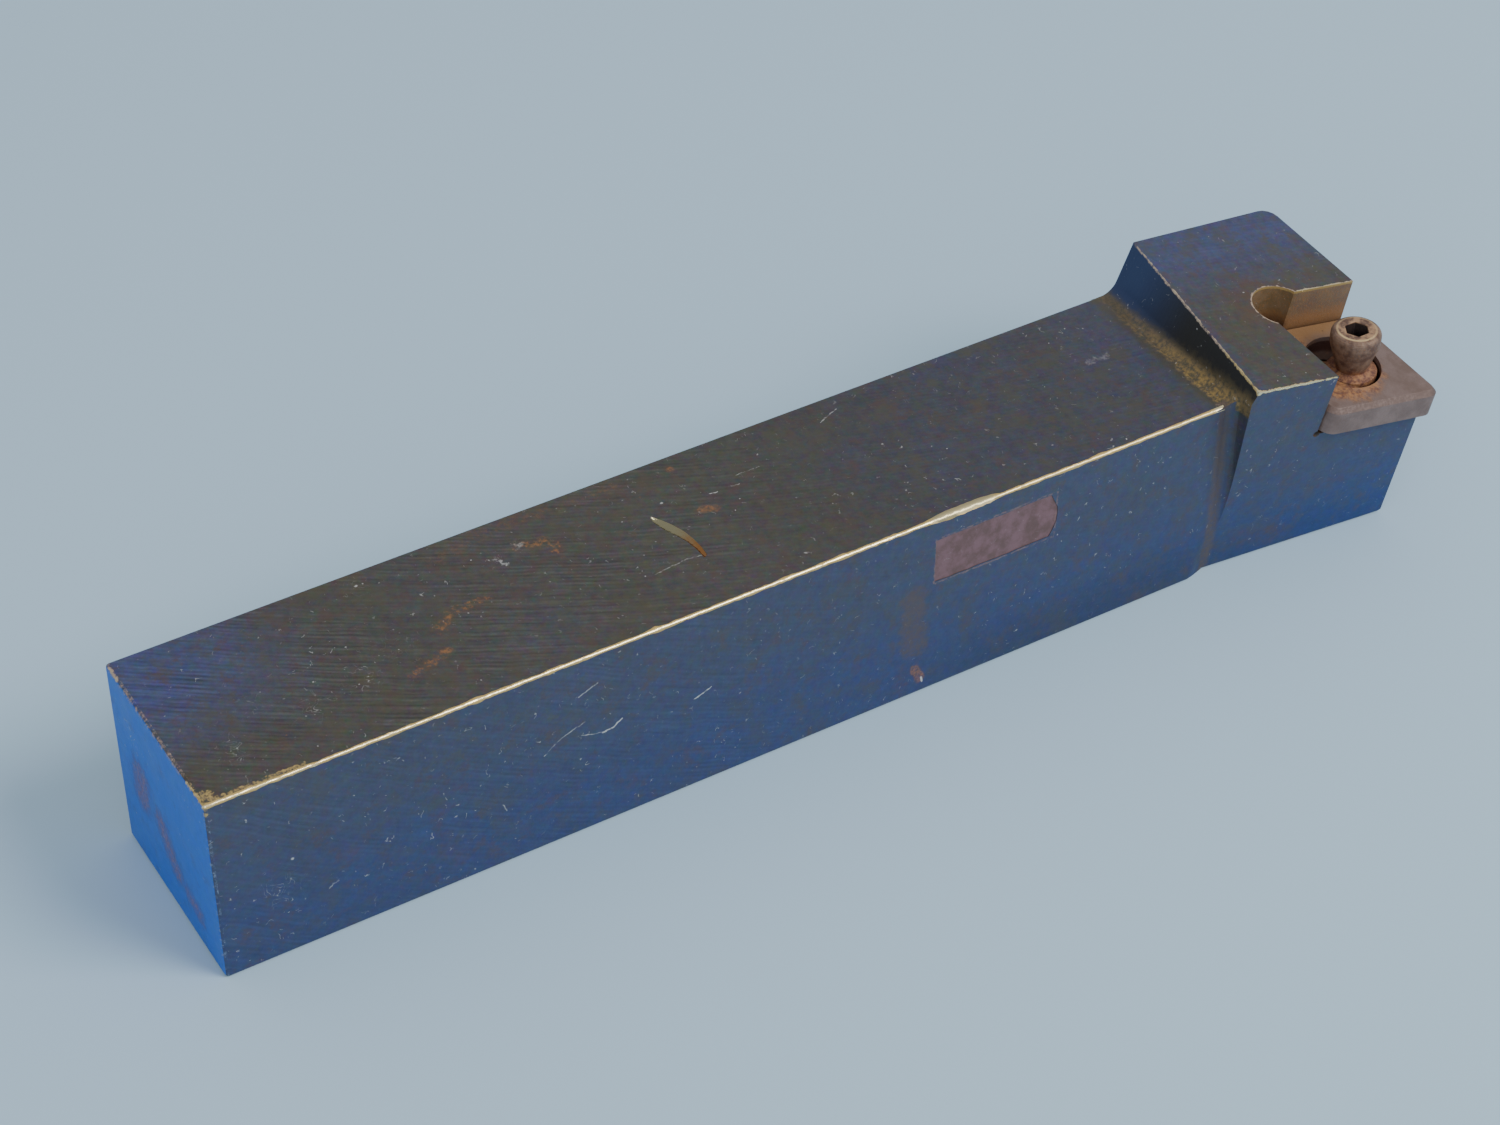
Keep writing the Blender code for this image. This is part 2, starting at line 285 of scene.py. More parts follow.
def is_in_pocket(face):
    """True for the pocket's walls, floor, relief and tapped hole."""
    centre = face.calc_center_median()
    place = in_pocket(centre)
    normal = face.normal
    behind_relief = place.y < RELIEF[1] - RELIEF_RADIUS - 0.3
    if place.z > -0.02 or centre.z < POCKET_LOWEST or behind_relief:
        return False
    wall = normal.dot(ACROSS) > 0.98 and abs(place.x + WALL) < 0.3
    rear_way = Vector((-math.cos(INSERT_ANGLE), math.sin(INSERT_ANGLE), 0))
    facing = normal.dot(ACROSS * rear_way.x + ALONG * rear_way.y)
    rear = facing > 0.98 and abs(place.dot(rear_way) + WALL) < 0.3
    floor = normal.dot(UP) > 0.98 and abs(place.z + POCKET_DEPTH) < 0.6
    relief = math.hypot(place.x - RELIEF[0], place.y - RELIEF[1]) < RELIEF_RADIUS + 0.3
    hole = math.hypot(centre.x - PIN.x, centre.y - PIN.y) < TAPPED_HOLE_REACH
    groove = abs(place.z + POCKET_DEPTH) < 0.5 and abs(place.x + WALL) < 0.5
    return wall or rear or floor or relief or hole or groove


def marked_cutter(name, mesh):
    """An object to cut or join with, whose faces carry the bare-steel mark at 0."""
    worn = mesh.attributes.new("worn", "FLOAT", "FACE")
    worn.data.foreach_set("value", [0.0] * len(mesh.polygons))
    return add_object(name, mesh)


def to_cutter(bm, name):
    """Turn a closed drawing mesh into a cutter."""
    bmesh.ops.recalc_face_normals(bm, faces=bm.faces)
    return marked_cutter(name, framed_mesh(bm, name))


def make_gouge_cutter():
    """A thin tapered rod, bent like a hook and sunk a little into the top."""
    curve = bpy.data.curves.new("gouge", "CURVE")
    curve.dimensions = "3D"
    curve.bevel_depth = 1.0 * MM
    curve.bevel_resolution = 3
    curve.use_fill_caps = True
    spline = curve.splines.new("POLY")
    spline.points.add(len(GOUGE_ROD) - 1)
    for point, ((x, y), radius) in zip(spline.points, GOUGE_ROD):
        point.co = (*(TO_FRAME @ Vector((x, y, HEIGHT + GOUGE_RISE))), 1)
        point.radius = radius
    rod = add_object("gouge", curve)
    mesh = evaluated_mesh(rod)
    bpy.data.objects.remove(rod, do_unlink=True)
    bm = bmesh.new()
    bm.from_mesh(mesh)
    bmesh.ops.remove_doubles(bm, verts=bm.verts, dist=0.001 * MM)
    bmesh.ops.recalc_face_normals(bm, faces=bm.faces)
    bm.to_mesh(mesh)
    bm.free()
    return marked_cutter("gouge", mesh)


def plate_outline():
    """Corners of the ground rectangle, along and up."""
    run = PLATE_END - PLATE_START
    outline = []
    for step in range(PLATE_STEPS + 1):
        y = PLATE_START + run * step / PLATE_STEPS
        outline.append((y, PLATE_LOW + 0.12 * wobble(y, 1.5, 31.0)))
    for step in range(1, PLATE_END_STEPS):
        z = PLATE_LOW + (PLATE_HIGH - PLATE_LOW) * step / PLATE_END_STEPS
        bulge = PLATE_BULGE * math.sin(math.pi * step / PLATE_END_STEPS)
        outline.append((PLATE_END + bulge + 0.4 * wobble(z, 0.6, 33.0), z))
    for step in range(PLATE_STEPS + 1):
        y = PLATE_END - run * step / PLATE_STEPS
        outline.append((y, PLATE_HIGH + 0.08 * wobble(y, 1.5, 37.0)))
    return outline


def make_plate_cutter():
    """A shallow box for the ground rectangle on the near side."""
    bm = bmesh.new()
    corners = [bm.verts.new((WIDTH - PLATE_DEPTH, y, z)) for y, z in plate_outline()]
    floor = bm.faces.new(corners)
    grown = bmesh.ops.extrude_face_region(bm, geom=[floor])
    moved = [item for item in grown["geom"] if isinstance(item, bmesh.types.BMVert)]
    bmesh.ops.translate(bm, vec=(1, 0, 0), verts=moved)
    return to_cutter(bm, "plate")


def carve(obj, cutters, operation="DIFFERENCE"):
    """Cut the cutters out of an object, or join them to it, and remove them."""
    for cutter in cutters:
        cut = obj.modifiers.new(cutter.name, "BOOLEAN")
        cut.operation = operation
        cut.solver = "EXACT"
        cut.object = cutter
    carved = evaluated_mesh(obj)
    obj.modifiers.clear()
    obj.data = carved
    for cutter in cutters:
        bpy.data.objects.remove(cutter, do_unlink=True)


def weigh_normals(obj):
    """Keep large flat faces flat in shading."""
    modifier = obj.modifiers.new("flat_faces", "WEIGHTED_NORMAL")
    modifier.keep_sharp = True
    modifier.weight = 100


def make_holder(steel, pocket):
    """The shank and head in one piece, with worn edges, the gouge and the ground rectangle."""
    bm = copy_of("holder")
    wear_near_top_edge(bm)
    worn = bm.faces.layers.float.new("worn")
    bm.normal_update()
    for face in bm.faces:
        face[worn] = chamfer_wear(face.calc_center_median(), face.normal)
    head = sharp_edges(bm, 36, lambda middle: middle.y > SHANK_END + 0.3)
    for face in round_edges(bm, head, HEAD_ROUNDING):
        face[worn] = BARE_HEAD if face.calc_center_median().z > 1 else BARE_HEAD_FOOT
    bm.normal_update()
    for face in bm.faces:
        face.material_index = int(is_in_pocket(face))
    holder = to_object(bm, "holder_body", [steel, pocket])
    carve(holder, [make_gouge_cutter(), make_plate_cutter()])
    return place_piece(holder, "holder", "tool_body")


def narrow_socket(bm):
    """Bring the hex socket's walls in a little, as if caked."""
    for vert in bm.verts:
        across = Vector((vert.co.x - PIN.x, vert.co.y - PIN.y))
        if across.length < SOCKET_REACH and vert.co.z > PIN.z - SOCKET_DEPTH:
            vert.co.x = PIN.x + across.x * SOCKET_SHRINK
            vert.co.y = PIN.y + across.y * SOCKET_SHRINK


def cake_edges(turn):
    """Inner and outer place of the rust cake, across and along, at an angle about the pin."""
    toward = Vector((math.cos(turn), math.sin(turn)))
    gap = CAKE_CENTRE - SEAT_HOLE
    slant = gap.dot(toward)
    reach = -slant + math.sqrt(slant ** 2 - gap.length_squared + SEAT_HOLE_RADIUS ** 2)
    share = (turn - CAKE_START) / (CAKE_END - CAKE_START)
    thick = max(math.sin(math.pi * share), 0.0) ** 0.5
    inner = reach - thick * (reach - CAKE_RADIUS) + 0.06 * wobble(turn, 0.25, 41.0) * thick
    return CAKE_CENTRE + toward * inner, CAKE_CENTRE + toward * (reach + 0.2)


def cake_section(turn):
    """Corners of the cake's cross-section at an angle about the pin, with their heights."""
    inner, outer = cake_edges(turn)
    lift = 0.05 * wobble(turn, 0.3, 43.0)
    middle = (inner + outer) / 2
    return (
        (inner, CAKE_TOP - 0.28 + lift), (middle, CAKE_TOP - 0.12 - lift), (outer, CAKE_TOP),
        (outer, CAKE_TOP - CAKE_HEIGHT), (inner, CAKE_TOP - CAKE_HEIGHT),
    )


def make_rust_cake():
    """A crescent of rust packed in the seat's hole, beside the pin."""
    bm = bmesh.new()
    rings = []
    for step in range(CAKE_STEPS + 1):
        section = cake_section(CAKE_START + (CAKE_END - CAKE_START) * step / CAKE_STEPS)
        rings.append([bm.verts.new(from_pocket(*place, up)) for place, up in section])
    for first, second in zip(rings, rings[1:]):
        for corner in range(len(first)):
            following = (corner + 1) % len(first)
            bm.faces.new((first[corner], first[following], second[following], second[corner]))
    bm.faces.new(rings[0])
    bm.faces.new(rings[-1][::-1])
    return to_cutter(bm, "cake")


def place_piece(piece, node, body):
    """Let a finished piece stand for its CAD node and move with its body."""
    weigh_normals(piece)
    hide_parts(node)
    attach(piece, body)
    return piece


def make_seat(material):
    """The loose plate on the pocket's floor, with the rust cake joined to it."""
    bm = copy_of("shim_seat")
    round_edges(bm, sharp_edges(bm, 30, lambda middle: True), SEAT_ROUNDING)
    seat = to_object(bm, "seat_plate", [material])
    carve(seat, [make_rust_cake()], "UNION")
    return place_piece(seat, "shim_seat", "seat")


def make_pin(material):
    """The upright pin with its hex socket."""
    bm = copy_of("lock_pin")
    narrow_socket(bm)
    round_edges(bm, sharp_edges(bm, 30, lambda middle: True), PIN_ROUNDING)
    pin = to_object(bm, "lock_pin_turned", [material])
    return place_piece(pin, "lock_pin", "pin")


# ---------- materials

class Finish:
    """A node material under construction. Its methods add shader nodes and return sockets."""

    def __init__(self, name):
        self.material = bpy.data.materials.new(name)
        self.material.use_nodes = True
        self.tree = self.material.node_tree
        self.shader = self.tree.nodes["Principled BSDF"]
        coordinates = self.add("ShaderNodeTexCoord")
        self.place = self.vector(
            "MULTIPLY_ADD", coordinates.outputs["Object"], (1 / MM,) * 3,
            tuple(-part / MM for part in DATUM),
        )

    def add(self, kind, **settings):
        node = self.tree.nodes.new(kind)
        for name, value in settings.items():
            setattr(node, name, value)
        return node

    def feed(self, socket, value):
        if isinstance(value, bpy.types.NodeSocket):
            self.tree.links.new(value, socket)
        elif value is not None:
            socket.default_value = value

    def fill(self, kind, *values, **settings):
        """A new node with its inputs fed in turn."""
        node = self.add(kind, **settings)
        for socket, value in zip(node.inputs, values):
            self.feed(socket, value)
        return node

    def math(self, operation, *values):
        return self.fill("ShaderNodeMath", *values, operation=operation).outputs[0]

    def vector(self, operation, *values):
        node = self.fill("ShaderNodeVectorMath", *values, operation=operation)
        scalar = operation in ("LENGTH", "DISTANCE", "DOT_PRODUCT")
        return node.outputs["Value" if scalar else "Vector"]

    def scaled(self, vector, factor):
        node = self.fill("ShaderNodeVectorMath", vector, operation="SCALE")
        self.feed(node.inputs["Scale"], factor)
        return node.outputs["Vector"]

    def parts(self, vector):
        return self.fill("ShaderNodeSeparateXYZ", vector).outputs

    def limited(self, value):
        """The value, held between 0 and 1."""
        return self.math("MINIMUM", self.math("MAXIMUM", value, 0.0), 1.0)

    def waver(self, value, noise, amount):
        """The value, moved up and down by noise."""
        return self.math("MULTIPLY_ADD", self.math("SUBTRACT", noise, 0.5), amount, value)

    def chain(self, operation, values):
        """One result from several values, taking them in turn."""
        return functools.reduce(lambda total, value: self.math(operation, total, value), values)

    def times(self, *values):
        return self.chain("MULTIPLY", values)

    def most(self, *values):
        return self.chain("MAXIMUM", values)

    def from_nose(self, *ways):
        """How far the place lies from the sharp nose, in each of some directions."""
        offset = self.vector("SUBTRACT", self.place, tuple(NOSE))
        return [self.vector("DOT_PRODUCT", offset, tuple(way)) for way in ways]

    def join(self, x, y, z):
        return self.fill("ShaderNodeCombineXYZ", x, y, z).outputs[0]

    def noise(self, size, detail=3.0, roughness=0.55, distortion=0.0, place=None, colour=False):
        """Smooth noise whose lumps are about this size, in millimetres."""
        node = self.add("ShaderNodeTexNoise")
        self.feed(node.inputs["Vector"], place or self.place)
        names = ("Scale", "Detail", "Roughness", "Distortion")
        for name, value in zip(names, (1 / size, detail, roughness, distortion)):
            node.inputs[name].default_value = value
        return node.outputs["Color" if colour else "Fac"]

    def specks(self, size, radius, share, place=None):
        """Scattered round dots: one cell in so many has one, with soft edges."""
        node = self.add("ShaderNodeTexVoronoi")
        self.feed(node.inputs["Vector"], place or self.place)
        node.inputs["Scale"].default_value = 1 / size
        split = self.fill("ShaderNodeSeparateColor", node.outputs["Color"])
        chosen = self.math("LESS_THAN", split.outputs["Red"], share)
        dot = self.fade(node.outputs["Distance"], radius, radius * 0.4)
        return self.times(dot, chosen)

    def fade(self, value, low, high):
        """0 at low, 1 at high, smooth between. High may be the smaller."""
        smooth = {"interpolation_type": "SMOOTHSTEP", "clamp": False}
        return self.fill("ShaderNodeMapRange", value, low, high, 0.0, 1.0, **smooth).outputs[0]

    def span(self, value, start, end, soft):
        """1 between two places, fading out over a soft stretch at each."""
        rise = self.fade(value, start - soft, start + soft)
        return self.times(rise, self.fade(value, end + soft, end - soft))

    def shaded(self, colour, brightness):
        node = self.add("ShaderNodeHueSaturation")
        self.feed(node.inputs["Color"], colour)
        self.feed(node.inputs["Value"], brightness)
        return node.outputs[0]

    def blend(self, factor, first, second, kind="MIX"):
        node = self.add("ShaderNodeMix", data_type="RGBA", blend_type=kind)
        self.feed(node.inputs["Factor"], factor)
        for name, value in (("A", first), ("B", second)):
            socket = next(s for s in node.inputs if s.name == name and s.type == "RGBA")
            self.feed(socket, (*value, 1.0) if isinstance(value, tuple) else value)
        return next(s for s in node.outputs if s.type == "RGBA")

    def between(self, factor, first, second):
        node = self.add("ShaderNodeMix", data_type="FLOAT")
        for socket, value in zip(node.inputs[:1] + node.inputs[2:4], (factor, first, second)):
            self.feed(socket, value)
        return node.outputs[0]

    def to_segment(self, place, start, end):
        """Distance in millimetres from a place to a straight segment."""
        run = Vector(end) - Vector(start)
        offset = self.vector("SUBTRACT", place, tuple(start))
        share = self.vector("DOT_PRODUCT", offset, tuple(run / run.length_squared))
        back = self.scaled(tuple(-run), self.limited(share))
        return self.vector("LENGTH", self.vector("ADD", offset, back))

    def path(self, place, points, radius, soft):
        """1 along a bent line through some points, fading out at its sides."""
        marks = [
            self.fade(self.to_segment(place, start, end), radius + soft, radius)
            for start, end in zip(points, points[1:])
        ]
        return self.most(*marks)

    def spot(self, place, centre, radius, soft):
        """1 in a round spot, fading out at its rim."""
        gap = self.vector("DISTANCE", place, tuple(centre))
        return self.fade(gap, radius + soft, max(radius - soft, 0.0))

    def finish(self, colour, metallic, roughness, bump, depth):
        """Link the results to the shader. Depth is the bump's height in millimetres."""
        self.feed(self.shader.inputs["Base Color"], colour)
        self.feed(self.shader.inputs["Metallic"], metallic)
        self.feed(self.shader.inputs["Roughness"], roughness)
        relief = self.add("ShaderNodeBump")
        relief.inputs["Distance"].default_value = depth * MM
        self.feed(relief.inputs["Height"], bump)
        self.feed(self.shader.inputs["Normal"], relief.outputs[0])
        return self.material


# Colours of the holder, linear
TOP_BROWN = (0.074, 0.071, 0.066)
TOP_BLUE = (0.062, 0.080, 0.185)
# The sides' navy is partly the oxide's own blue and partly painted reflection of blue
# surroundings, SIDE_NAVY the most
SIDE_SLATE = (0.059, 0.070, 0.122)
SIDE_NAVY = (0.043, 0.064, 0.158)
# Painted reflection: bluer navy low on the front of the sides, for blue surroundings mirrored
# there
FRONT_REFLECTED_NAVY = (0.026, 0.068, 0.230)
# Painted reflection: the end face's strong blue stands for blue surroundings mirrored in the steel
END_REFLECTED_BLUE = (0.011, 0.145, 0.600)
# Painted shade of the step face at its far side
STEP_SHADE_BLUE = (0.024, 0.046, 0.125)
SCORCH = (0.105, 0.058, 0.048)
MOSS = (0.088, 0.080, 0.044)
RUST_DARK = (0.120, 0.062, 0.034)
RUST_ORANGE = (0.380, 0.160, 0.045)
OLIVE = (0.090, 0.076, 0.040)
MUSTARD = (0.310, 0.205, 0.068)
# Painted shade of the step face at its near side
STEP_SHADE_BLACK = (0.020, 0.019, 0.018)
HOLLOW = (0.105, 0.078, 0.074)
# Bare steel, and the painted highlight along the near top edge
BARE_AND_HIGHLIGHT = (1.000, 0.860, 0.520)
GOLD = (0.600, 0.430, 0.160)
FACET = (0.360, 0.330, 0.200)
BARE_PINK = (0.480, 0.350, 0.280)
EDGE_BLUE = (0.240, 0.300, 0.420)
LINT = (0.620, 0.620, 0.600)
PLATE_BROWN = (0.145, 0.080, 0.074)
PLATE_MAUVE = (0.220, 0.117, 0.128)
PLATE_LINE = (0.280, 0.180, 0.165)

# Colours of the pocket
POCKET_BROWN = (0.165, 0.112, 0.078)
POCKET_OLIVE = (0.150, 0.100, 0.046)
POCKET_TAN = (0.210, 0.140, 0.078)
POCKET_ORANGE = (0.340, 0.165, 0.062)
POCKET_PIT = (0.045, 0.026, 0.016)
# Painted shade at the pocket's foot
POCKET_FOOT_SHADE = (0.040, 0.016, 0.012)

# Colours of the seat
SEAT_BROWN = (0.175, 0.118, 0.098)
SEAT_MAUVE = (0.230, 0.165, 0.148)
SEAT_MUSTARD = (0.340, 0.185, 0.075)
SEAT_SIDE_BROWN = (0.175, 0.118, 0.102)
SEAT_SIDE_MAUVE = (0.235, 0.165, 0.145)
SEAT_EDGE = (0.140, 0.092, 0.078)
# Painted shade in the seat's hole
SEAT_BORE_SHADE = (0.060, 0.022, 0.018)
SEAT_FLECK = (0.040, 0.025, 0.020)
CAKE_DARK = (0.150, 0.058, 0.036)
CAKE_PALE = (0.430, 0.205, 0.078)

# Colours of the pin
PIN_DARK = (0.115, 0.064, 0.048)
PIN_MAUVE = (0.270, 0.175, 0.122)
PIN_CAKE_DARK = (0.140, 0.054, 0.040)
PIN_CAKE_PALE = (0.400, 0.190, 0.085)
# Painted shade low on the pin
PIN_DEEP_SHADE = (0.085, 0.032, 0.022)
PIN_CROWN = (0.450, 0.270, 0.150)
# Painted highlight on the pin's rim
PIN_RIM_HIGHLIGHT = (1.000, 0.720, 0.380)
# Painted shade inside the hex socket
PIN_SOCKET_SHADE = (0.022, 0.014, 0.016)
PIN_TURNING_PITCH = 0.16

# The grinding lines: their pitch, the centre of their arcs, and the way that they run
GRIND_PITCH = 0.48
GRIND_CENTRE = (140.0, -183.0, 0.0)
GRIND_ANGLE = math.radians(32)


def top(x, y):
    """A place on the shank's top."""
    return Vector((x, y, HEIGHT))


def side(y, drop):
    """A place on the near side, by its distance below the top edge."""
    return Vector((WIDTH, y, HEIGHT - drop))


def end(x, drop):
    """A place on the rear end, by its distance below the top edge."""
    return Vector((x, 0.0, HEIGHT - drop))


# Scratches: the face, the places along each, its half width and its softness
BRIGHT_LINES = (
    (side, ((36.3, 9.3), (37.3, 9.15), (38.2, 8.5)), 0.04, 0.08),
    (side, ((45.4, 9.7), (47.1, 9.0)), 0.03, 0.07),
    (side, ((69.2, 18.3), (69.4, 18.8)), 0.06, 0.09),
    (top, ((6.7, 54.8), (6.75, 55.6)), 0.02, 0.07),
)
THIN_LINES = (
    (side, ((30.6, 9.3), (32.2, 8.0), (34.6, 7.2)), 0.01, 0.08),
    (side, ((34.0, 8.6), (36.5, 9.3)), 0.01, 0.07),
    (side, ((34.1, 4.1), (35.9, 3.3)), 0.02, 0.08),
    (side, ((26.5, 13.0), (26.8, 13.8)), 0.02, 0.07),
    (side, ((21.0, 8.9), (21.3, 9.8)), 0.02, 0.07),
    (side, ((10.0, 14.5), (10.3, 14.1), (10.9, 14.0)), 0.03, 0.07),
    (top, ((13.6, 50.2), (13.3, 48.6), (13.5, 47.0), (13.7, 45.2)), 0.0, 0.09),
    (top, ((6.7, 57.0), (6.8, 57.9)), 0.01, 0.07),
    (top, ((5.6, 58.2), (5.6, 60.6)), 0.01, 0.07),
    (top, ((3.0, 68.6), (2.0, 71.0)), 0.01, 0.07),
)


class HolderFinish(Finish):
    """The holder's finish, with the masks that its layers share."""

    def __init__(self):
        super().__init__("blackened_steel")
        self.x, self.y, self.z = self.parts(self.place)
        facing = self.parts(self.add("ShaderNodeNewGeometry").outputs["Normal"])
        forward = self.times(self.math("ABSOLUTE", facing[1]), self.fade(self.y, 112.0, 113.0))
        sideways = self.most(self.math("ABSOLUTE", facing[0]), forward)
        self.on_side = self.fade(sideways, 0.5, 0.75)
        self.on_end = self.fade(self.math("ABSOLUTE", facing[1]), 0.75, 0.9)
        self.on_end = self.times(self.on_end, self.fade(self.y, 50.0, 49.0))
        self.cloudy = self.noise(5.0, 4.0, 0.6)
        self.fine = self.noise(0.35, 4.0, 0.65)
        self.broken = self.fade(self.noise(0.55, 5.0, 0.7), 0.40, 0.60)
        wander = self.vector("SUBTRACT", self.noise(0.8, 5.0, 0.65, colour=True), (0.5,) * 3)
        self.ragged = self.vector("ADD", self.place, self.scaled(wander, 2.6))
        self.sway = self.vector("ADD", self.place, self.scaled(wander, 0.5))


def add_grinding(f):
    """Fine irregular lines left by the grinding wheel, on long shallow arcs. From -1 to 1."""
    across = f.between(f.on_side, f.x, f.math("SUBTRACT", HEIGHT + 7.0, f.z))
    flat = f.join(f.y, across, 0.0)
    radius = f.vector("DISTANCE", flat, GRIND_CENTRE)
    run = f.vector("DOT_PRODUCT", flat, (math.cos(GRIND_ANGLE), math.sin(GRIND_ANGLE), 0.0))
    streak_place = f.join(f.times(run, 0.10), f.times(radius, 1.0 / GRIND_PITCH), 0.0)
    streaks = f.fade(f.noise(1.0, 3.0, 0.6, place=streak_place), 0.28, 0.72)
    drift = f.times(f.noise(5.0, 2.0), 0.9)
    arcs = f.math("SINE", f.times(f.math("ADD", radius, drift), 2 * math.pi / GRIND_PITCH))
    lines = f.math("ADD", f.math("MULTIPLY_ADD", streaks, 1.3, -0.65), f.times(arcs, 0.35))
    patchy = f.between(f.fade(f.noise(7.0, 3.0), 0.38, 0.62), 0.35, 1.0)
    fading = f.between(f.fade(f.y, 40.0, 66.0), 1.0, 0.28)
    turned = f.between(f.on_side, 1.0, 0.45)
    return f.times(lines, patchy, fading, turned, f.between(f.on_end, 1.0, 0.0))


def oxide_colour(f, grind):
    """Grey-black on top with blue towards the ends; navy on the sides, partly the oxide's own blue
    and partly painted reflection, bluer low down; painted reflected blue on the end face; painted
    shade low on the near side.
    """
    broad = f.noise(22.0, 3.0)
    rear_blue = f.times(f.fade(f.y, 20.0, 1.0), f.fade(f.x, 19.0, 3.0), 1.1)
    front_blue = f.times(f.fade(f.y, 50.0, 85.0), 0.38)
    blue = f.math("ADD", f.most(rear_blue, front_blue), f.math("MULTIPLY_ADD", broad, 0.8, -0.46))
    head_blue = f.times(f.fade(f.x, 13.0, 2.0), 0.8)
    blue = f.between(f.fade(f.y, 104.0, 105.5), f.limited(blue), head_blue)
    upper = f.blend(blue, TOP_BROWN, TOP_BLUE)
    # Navier low on the sides: the oxide's blue with painted reflection of blue surroundings
    sunk = f.math("ADD", f.fade(f.z, 16.0, 3.0), f.math("MULTIPLY_ADD", f.cloudy, 1.1, -0.55))
    lower = f.blend(f.limited(sunk), SIDE_SLATE, SIDE_NAVY)
    # Painted reflection: bluer navy low towards the front of the sides
    lower = f.blend(f.times(f.fade(f.y, 92.0, 118.0), f.fade(f.z, 9.0, 0.0)), lower, FRONT_REFLECTED_NAVY)
    tint = f.blend(f.on_side, upper, lower)
    # Painted reflection of blue surroundings on the end face
    tint = f.blend(f.on_end, tint, END_REFLECTED_BLUE)
    shade = f.math("MULTIPLY_ADD", grind, 0.42, 1.0)
    shade = f.times(shade, f.between(f.cloudy, 0.85, 1.15), f.between(f.fine, 0.88, 1.12))
    shaded_foot = f.times(f.on_side, f.fade(f.z, 8.0, 0.0), f.fade(f.y, 60.0, 85.0))
    darker = f.times(f.span(f.y, 62.0, 98.0, 14.0), f.fade(f.on_side, 0.6, 0.2))
    shade = f.times(shade, f.between(shaded_foot, 1.0, 0.75), f.between(darker, 1.0, 0.84))
    return f.shaded(tint, shade)


def add_mottling(f, colour):
    """Fine many-coloured mottling, and brown and green bruises a millimetre or two across."""
    speckle = f.noise(0.9, 6.0, 0.75, colour=True)
    strength = f.between(f.on_end, f.between(f.on_side, 0.85, 0.55), 0.35)
    colour = f.blend(strength, colour, speckle, "OVERLAY")
    scorched = f.fade(f.noise(1.9, 5.0, 0.7), 0.52, 0.68)
    scorched = f.times(scorched, f.between(f.on_side, 0.50, 0.36), f.between(f.on_end, 1.0, 0.5))
    colour = f.blend(scorched, colour, SCORCH)
    mossy = f.fade(f.noise(2.7, 4.0, 0.65, place=f.ragged), 0.50, 0.66)
    mossy = f.times(mossy, f.between(f.on_side, 0.45, 0.28), f.between(f.on_end, 1.0, 0.0))
    return f.blend(mossy, colour, MOSS)


def bold_rust(f):
    """Small solid rust spots."""
    return f.most(
        f.spot(f.sway, top(13.3, 25.4), 0.45, 0.25),
        f.spot(f.sway, top(1.9, 53.5), 0.40, 0.30),
        f.times(f.path(f.sway, (top(8.2, 53.2), top(8.6, 54.2)), 0.35, 0.35), 0.75),
        f.times(f.path(f.sway, (side(68.5, 16.9), side(69.1, 18.3)), 0.35, 0.35), 0.8),
    )


def smeared_rust(f):
    """Ragged smears on the top, and three on the rear end."""
    return f.most(
        f.path(f.ragged, (top(10.6, 26.0), top(9.4, 27.6), top(8.7, 31.3)), 0.1, 0.8),
        f.path(f.ragged, (top(4.4, 36.8), top(5.2, 39.8), top(6.8, 39.5)), 0.1, 1.0),
        f.times(f.path(f.ragged, (top(2.5, 29.0), top(1.0, 36.0), top(1.5, 48.0)), 0.0, 1.8), 0.6),
        f.path(f.ragged, (top(14.5, 21.5), top(13.4, 25.0)), 0.1, 0.8),
        f.path(f.ragged, (end(5.4, 8.6), end(4.9, 11.4)), 0.7, 2.0),
        f.path(f.ragged, (end(8.8, 11.2), end(11.2, 14.8)), 0.5, 1.8),
        f.times(f.path(f.ragged, (end(13.6, 15.8), end(15.4, 16.2)), 0.4, 1.6), 0.9),
    )


def faint_rust(f):
    """Faint brown clouds low on the near side."""
    return f.most(
        f.spot(f.ragged, side(1.8, 16.2), 0.2, 1.1),
        f.spot(f.ragged, side(12.4, 11.4), 0.4, 1.3),
        f.path(f.ragged, (side(20.5, 15.2), side(22.5, 17.5)), 0.2, 1.1),
        f.path(f.ragged, (side(105.0, 17.0), side(110.0, 18.5)), 0.4, 1.6),
    )


def rust_mask(f):
    """Rust spots and smears where the oxide was bruised, and small dots all over."""
    bold = bold_rust(f)
    smeared = smeared_rust(f)
    faint = faint_rust(f)
    dots = f.specks(1.3, 0.10, 0.12, f.sway)
    return f.most(
        f.times(bold, f.between(f.broken, 0.6, 0.9)),
        f.times(smeared, f.between(f.broken, f.between(f.on_end, 0.2, 0.60), 1.0), 0.75),
        f.times(faint, f.between(f.broken, 0.3, 1.0), 0.3), f.times(dots, 0.5),
    )


def add_rust(f, colour, rust):
    """Dark rust, orange where it is thick."""
    thick = f.times(f.fade(f.fine, 0.35, 0.6), f.fade(rust, 0.2, 0.8))
    return f.blend(f.times(rust, 0.85), colour, f.blend(thick, RUST_DARK, RUST_ORANGE))


